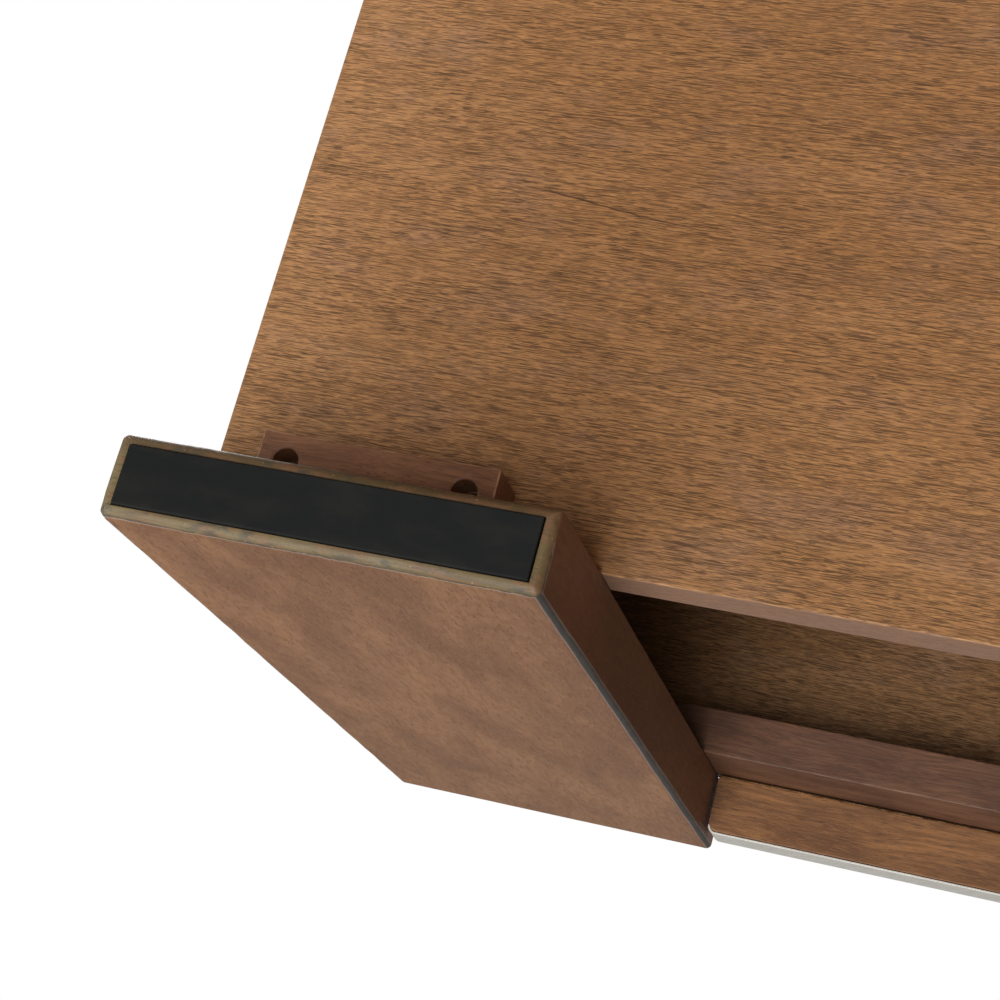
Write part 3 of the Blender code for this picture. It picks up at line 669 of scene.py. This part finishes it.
def make_boards(shelf_veneer, top_veneer, side_veneer, rail_wood):
    """Plain boards, each a slab carried along its thin way, with its arrises rounded. The shelf's
    outline is drawn in near its top by the walls' thickness, which makes their rebate."""
    for node, finish in (
        ("back_panel", top_veneer),
        ("side_panel_left", side_veneer),
        ("side_panel_right", side_veneer),
        ("lid_panel", top_veneer),
        ("hinge_board", top_veneer),
    ):
        low, high = corners_of(node)
        thin = int(np.argmin(high - low))
        surface = slab_surface(low, high, BOARD_ARRIS, thin, BOARD_PITCH, BOARD_WEAR)
        stand_for(solid(f"{node}_board", [surface], finish), node)
    low, high = corners_of("front_rail")
    surface = slab_surface(low, high, RAIL_ARRIS, 0, RAIL_PITCH, RAIL_WEAR)
    stand_for(solid("front_rail_batten", [surface], rail_wood), "front_rail")

    low, high = corners_of("shelf")
    wall_low, _ = corners_of("side_panel_right")
    back_low, _ = corners_of("back_panel")
    place, inset, lean = eased_stations(low[2], high[2], BOARD_ARRIS, SHELF_PITCH[2])
    rebate = wall_low[2] - FIT_GAP
    below = place < rebate
    place = np.concatenate([place[below], [rebate, rebate, high[2], high[2]]])
    wall_x = high[0] - wall_low[0] + FIT_GAP
    wall_y = high[1] - back_low[1] + FIT_GAP
    base = np.stack([inset[below]] * 2, axis=-1)
    low_top = [[0.0, 0.0], [wall_x, 0.0], [wall_x, 0.0], [wall_x + BOARD_ARRIS, BOARD_ARRIS]]
    high_top = [[0.0, 0.0], [wall_x, wall_y], [wall_x, wall_y], [wall_x + BOARD_ARRIS, wall_y + BOARD_ARRIS]]
    inset = (np.concatenate([base, low_top]), np.concatenate([base, high_top]))
    lean = np.concatenate([lean[below], [0.0, 0.0, 0.0, np.pi / 2]])
    surface = slab_surface(low, high, BOARD_ARRIS, 2, SHELF_PITCH, SHELF_WEAR, (place, inset, lean))
    stand_for(solid("shelf_board", [surface], shelf_veneer), "shelf")


def make_nosing(name, node, end, rebate, finish):
    """A batten whose outline is carried along X, its ends flush with its strip's. Near them its
    face curves back round a quarter circle: face - radius + sqrt(radius^2 - reach^2), where reach
    is the way into the corner. rebate may give y and z of the step that clears the rail."""
    low, high = corners_of(node)
    half = corners_of(f"{node}_trim")[1][0]
    face = max(abs(low[1]), abs(high[1]))
    rear = min(abs(low[1]), abs(high[1]))
    inner = half - NOSING_CORNER
    bent = inner + NOSING_CORNER * np.sin(np.linspace(0.0, np.pi / 2, CORNER_STEPS + 1)[1:])
    middle = np.linspace(-inner, inner, int(2 * inner / NOSING_PITCH))
    place = np.concatenate([-bent[::-1], middle, bent])
    reach = np.clip(np.abs(place) - inner, 0.0, NOSING_CORNER)
    front = face - NOSING_CORNER + np.sqrt(np.maximum(NOSING_CORNER**2 - reach**2, 0.0))

    # Corners as y and z, starting behind and above. Those round the face get neither wear nor the pale
    # painted highlight.
    outline = [(rear, high[2]), (front, high[2]), (front, low[2])]
    radii = [NOSING_EDGE] * 3
    worn_and_highlit = [False] * 3
    if rebate:
        step_y, step_z = rebate
        outline += [(step_y, low[2]), (step_y, step_z), (rear, step_z)]
        radii += [NOSING_ARRIS, NOSING_STEP_ARRIS, NOSING_STEP_ARRIS]
        worn_and_highlit += [True] * 3
    else:
        outline += [(rear, low[2])]
        radii += [NOSING_ARRIS]
        worn_and_highlit += [True]
    corners = np.empty((place.size, len(outline), 2))
    for index, (y, z) in enumerate(outline):
        corners[:, index, 0] = y
        corners[:, index, 1] = z
    flat, share = filleted_outlines(corners, radii)
    points = np.empty((*flat.shape[:2], 3))
    points[..., 0] = place[:, None]
    points[..., 1] = end * flat[..., 0]
    points[..., 2] = flat[..., 1]

    share *= np.repeat(worn_and_highlit, share.size // len(radii))
    arris = np.tile(share, (place.size, 1))
    centre = np.array([0.5 * (rear + face) * end, 0.5 * (low[2] + high[2])])
    inward = centre - points[..., 1:]
    inward /= np.linalg.norm(inward, axis=-1, keepdims=True)
    points[..., 1:] += inward * (arris * nicks(points, *NOSING_WEAR))[..., None]
    if end > 0:
        points, arris = points[:, ::-1], arris[:, ::-1]
    surface = (points, arris, np.zeros_like(arris))
    return stand_for(solid(name, [surface], finish), node)


def make_strip(name, node, end, finish):
    """A metal strip bent round a nosing: its section, a thin upright rectangle, is carried round
    two quarter circles and the straight between them, always square to the way that it goes."""
    low, high = corners_of(node)
    radius = high[1] - low[1]
    face = max(abs(low[1]), abs(high[1]))
    turn = np.linspace(0.0, np.pi / 2, STRIP_STEPS + 1)
    inner = high[0] - radius
    straight = np.linspace(-inner, inner, STRIP_STATIONS)[1:-1]
    centre_x = np.concatenate([np.full(turn.size, -inner), straight, np.full(turn.size, inner)])
    angle = np.concatenate([turn - np.pi / 2, np.zeros(straight.size), turn])
    section = [[0.0, low[2]], [0.0, high[2]], [STRIP_THICK, high[2]], [STRIP_THICK, low[2]]]
    flat, share = filleted_outlines(np.array([section]), [STRIP_ARRIS] * 4)
    depth, height = flat[0, :, 0], flat[0, :, 1]
    points = np.empty((angle.size, depth.size, 3))
    out = radius - depth[None]
    points[..., 0] = centre_x[:, None] + out * np.sin(angle)[:, None]
    points[..., 1] = end * (face - radius + out * np.cos(angle)[:, None])
    points[..., 2] = height[None]
    arris = np.tile(share, (angle.size, 1))
    if end < 0:
        points, arris = points[:, ::-1], arris[:, ::-1]
    surface = (points, arris, np.ones_like(arris))
    return stand_for(solid(name, [surface], finish), node)


def drilled(piece, cutters):
    """Cuts the cutters out of a piece, keeps the result as its mesh and removes the cutters."""
    for cutter in cutters:
        hole = piece.modifiers.new("hole", "BOOLEAN")
        hole.object = cutter
        hole.solver = "EXACT"
    graph = bpy.context.evaluated_depsgraph_get()
    mesh = bpy.data.meshes.new_from_object(piece.evaluated_get(graph))
    piece.modifiers.clear()
    piece.data = mesh
    for cutter in cutters:
        bpy.data.objects.remove(cutter)
    return piece


def make_blocks(finish):
    """Corner blocks with two counterbores each, flared a little at the mouth."""
    profile = [
        (COUNTERBORE_RADIUS + 2 * COUNTERBORE_FLARE, -COUNTERBORE_FLARE, 0.0),
        (COUNTERBORE_RADIUS, COUNTERBORE_FLARE, 0.0),
        (COUNTERBORE_RADIUS, COUNTERBORE_DEPTH, 0.0),
    ]
    for end, side in LEG_PLACES:
        node = f"corner_block_{end}_{side}"
        low, high = corners_of(node)
        surface = slab_surface(low, high, BLOCK_ARRIS, 0, BLOCK_PITCH, BLOCK_WEAR)
        block = solid(f"{node}_wood", [surface], finish)
        cutters = []
        for which in ("inner", "outer"):
            screw_low, screw_high = corners_of(f"block_screw_{end}_{side}_{which}")
            centre = (screw_low + screw_high) / 2
            centre[2] = low[2]
            cutters.append(solid("counterbore", [turned_surface(profile, centre, 2)], finish))
        stand_for(drilled(block, cutters), node)


def make_fasteners(finish):
    """Button-headed bolts and screws with hexagon sockets. A head's edge is a quarter ellipse
    turned round the axis, and the shank is a plain rod with a blunt point."""
    for node in frame["nodes"]:
        kind = "_".join(node.split("_")[:2])
        if kind not in HEAD_HEIGHT:
            continue
        low, high = corners_of(node)
        axis = int(np.argmax(high - low))
        head = (high - low).min() / 2
        length = high[axis] - low[axis]
        # Up through a block, or outwards through it or a wall into the leg
        direction = 1 if axis == 2 or high[axis] > -low[axis] else -1
        origin = (low + high) / 2
        origin[axis] = low[axis] if direction > 0 else high[axis]
        height, shank = HEAD_HEIGHT[kind], SHANK_RADIUS[kind]
        profile = [(reach * head, depth * height, hexagon) for reach, depth, hexagon in SOCKET]
        for turn in np.linspace(CROWN_START, math.pi / 2, CROWN_PLACES):
            reach = head * (CROWN_FLAT + (1 - CROWN_FLAT) * math.sin(turn))
            profile.append((reach, height * (1 - math.cos(turn)) * CROWN_RISE, 0.0))
        profile += [(head, height, 0.0), (shank, height, 0.0)]
        profile += [(shank, length - shank, 0.0), (BLUNT_POINT * shank, length, 0.0)]
        piece = solid(f"{node}_turned", [turned_surface(profile, origin, axis, direction)], finish)
        stand_for(piece, node)


def make_hinges(finish):
    """Leaves of the butt hinges: an eased plate, the bored tubes of its knuckles and the necks
    that join them to it. The pins and the screws are the CAD's own."""
    for side in SIDES:
        pin_low, pin_high = corners_of(f"hinge_pin_{side}")
        centre = (pin_low + pin_high) / 2
        top = centre[2] - KNUCKLE_RADIUS - FIT_GAP
        for which, way, first in (("lid", -1, 1), ("board", 1, 0)):
            node = f"hinge_{which}_leaf_{side}"
            low, high = corners_of(node)
            near = centre[1] + way * LEAF_GAP / 2
            far = near + way * LEAF_THICK
            plate_low = np.array((low[0], min(near, far), top - LEAF_HEIGHT))
            plate_high = np.array((high[0], max(near, far), top))
            surfaces = [slab_surface(plate_low, plate_high, LEAF_ARRIS)]
            pitch = (high[0] - low[0]) / KNUCKLES
            long = pitch - FIT_GAP
            profile = [
                (PIN_BORE, 0.0, 0.0),
                (KNUCKLE_RADIUS - KNUCKLE_EASE, 0.0, 0.0),
                (KNUCKLE_RADIUS, KNUCKLE_EASE, 0.0),
                (KNUCKLE_RADIUS, long - KNUCKLE_EASE, 0.0),
                (KNUCKLE_RADIUS - KNUCKLE_EASE, long, 0.0),
                (PIN_BORE, long, 0.0),
                (PIN_BORE, 0.0, 0.0),
            ]
            for index in range(first, KNUCKLES, 2):
                start = low[0] + index * pitch + FIT_GAP / 2
                surfaces.append(turned_surface(profile, (start, centre[1], centre[2]), 0))
                neck_low = np.array((start, plate_low[1], top - LEAF_THICK))
                neck_high = np.array((start + long, plate_high[1], centre[2] - PIN_BORE - NECK_GAP))
                surfaces.append(slab_surface(neck_low, neck_high, NECK_ARRIS))
            stand_for(solid(f"{node}_rolled", surfaces, finish), node)


def fixed_finishes(finishes):
    """Gives each CAD node that stays its slot's finish."""
    for node, obj in frame["nodes"].items():
        if not obj.hide_render:
            obj.data.materials.clear()
            obj.data.materials.append(finishes[SLOT_OF[node]])


# ---------------------------------------------------------------- studio


def soft_light(name, place, target, size, power):
    """A square area light that faces its target."""
    lamp = bpy.data.lights.new(name, "AREA")
    lamp.size = size
    lamp.energy = power
    holder = bpy.data.objects.new(name, lamp)
    holder.location = place
    holder.rotation_euler = (Vector(target) - Vector(place)).to_track_quat("-Z", "Y").to_euler()
    bpy.context.scene.collection.objects.link(holder)


def make_floor():
    """A pale floor that fades into the white round it. It is seen from above only: from below it
    lets sight and light through."""
    half = FLOOR_SIZE / 2
    corners = [(x * half, y * half, -FLOOR_DROP) for x, y in CORNERS]
    mesh = bpy.data.meshes.new("floor")
    mesh.from_pydata(corners, [], [(0, 1, 2, 3)])
    f = Finish("floor_pale")
    pale = f.finish(tone(235, 234, 231), 0.8)
    away = f.add("VectorMath", {0: f.place()}, operation="LENGTH").outputs["Value"]
    fade = f.span(away, FLOOR_SOLID, FLOOR_FADED)
    back = f.add("NewGeometry", {}).outputs["Backfacing"]
    shadow = f.add("LightPath", {}).outputs["Is Shadow Ray"]
    clear_share = f.combine("MAXIMUM", fade, f.combine("MAXIMUM", back, shadow))
    clear = f.add("BsdfTransparent", {}).outputs["BSDF"]
    mix = f.add("MixShader", {"Fac": clear_share, 1: f.shader.outputs["BSDF"], 2: clear})
    f.feed(f.tree.nodes["Material Output"].inputs["Surface"], mix.outputs["Shader"])
    mesh.materials.append(pale)
    floor = bpy.data.objects.new("floor", mesh)
    bpy.context.scene.collection.objects.link(floor)


def make_world():
    """White where the camera looks past the object, and dimmer as light on it."""
    world = bpy.data.worlds.new("studio")
    world.use_nodes = True
    tree = world.node_tree
    fill = tree.nodes["Background"]
    fill.inputs["Color"].default_value = FILL_COLOR
    fill.inputs["Strength"].default_value = FILL_STRENGTH
    white = tree.nodes.new("ShaderNodeBackground")
    white.inputs["Color"].default_value = (1.0, 1.0, 1.0, 1.0)
    path = tree.nodes.new("ShaderNodeLightPath")
    mix = tree.nodes.new("ShaderNodeMixShader")
    tree.links.new(path.outputs["Is Camera Ray"], mix.inputs["Fac"])
    tree.links.new(fill.outputs["Background"], mix.inputs[1])
    tree.links.new(white.outputs["Background"], mix.inputs[2])
    tree.links.new(mix.outputs["Shader"], tree.nodes["World Output"].inputs["Surface"])
    bpy.context.scene.world = world


def make_studio():
    """The camera, the soft lights, the floor and the world."""
    camera = bpy.data.cameras.new("camera")
    camera.sensor_width = SENSOR
    camera.lens = CAMERA_LENS
    camera.clip_start = 0.01
    holder = bpy.data.objects.new("camera", camera)
    holder.location = CAMERA_PLACE
    holder.rotation_euler = [math.radians(angle) for angle in CAMERA_TURN]
    bpy.context.scene.collection.objects.link(holder)
    bpy.context.scene.camera = holder
    bpy.context.scene.view_settings.view_transform = "Standard"
    for light in LIGHTS:
        soft_light(*light)
    make_floor()
    make_world()


def board_veneer(name, axis, light, dark, cracked=False):
    """A veneer in its own browns. The shelf's also has a hairline crack."""
    pore = tone(62, 41, 21)
    f, color, rough = veneer(name, axis, light, dark, pore, tone(122, 93, 76))
    if cracked:
        color = hairline(f, color, tone(52, 32, 20))
    return f.finish(color, rough, Specular_IOR_Level=0.3)


SHELF_VENEER = board_veneer("shelf_veneer", "X", tone(149, 109, 71), tone(124, 86, 51), True)
TOP_VENEER = board_veneer("top_veneer", "X", tone(142, 103, 67), tone(112, 77, 45))
SIDE_VENEER = board_veneer("side_veneer", "Y", tone(143, 104, 70), tone(114, 78, 48))
LEG_WOOD = leg_wood()
RAIL_WOOD = fine_wood("rail_wood", tone(101, 68, 48), tone(66, 41, 28), tone(122, 92, 70), 0.0011, 0.25, 0.3)
NOSING_WOOD = fine_wood("nosing_wood", tone(128, 87, 50), tone(84, 53, 29), tone(168, 132, 92))
BLOCK_WOOD = fine_wood("block_wood", tone(128, 88, 60), tone(96, 62, 41), tone(164, 126, 100))
RUBBER = foot_rubber()
METAL = edge_metal()
STEEL = plain_metal("screw_steel_zinc", tone(150, 147, 140), tone(98, 95, 90), 0.38)
BRASS = plain_metal("hinge_brass_aged", tone(170, 142, 92), tone(120, 95, 58), 0.35)

make_legs(LEG_WOOD)
make_pads(RUBBER)
make_boards(SHELF_VENEER, TOP_VENEER, SIDE_VENEER, RAIL_WOOD)
lid_step = (RAIL_PLAY - corners_of("front_rail")[0][1], corners_of("lid_panel")[0][2])
make_nosing("lid_nosing_batten", "lid_nosing", -1, lid_step, NOSING_WOOD)
make_nosing("back_nosing_batten", "back_nosing", 1, None, NOSING_WOOD)
make_strip("lid_edge_strip", "lid_nosing_trim", -1, METAL)
make_strip("back_edge_strip", "back_nosing_trim", 1, METAL)
make_blocks(BLOCK_WOOD)
make_fasteners(STEEL)
make_hinges(BRASS)
fixed_finishes({"hinge_brass": BRASS, "screw_steel": STEEL})
make_studio()
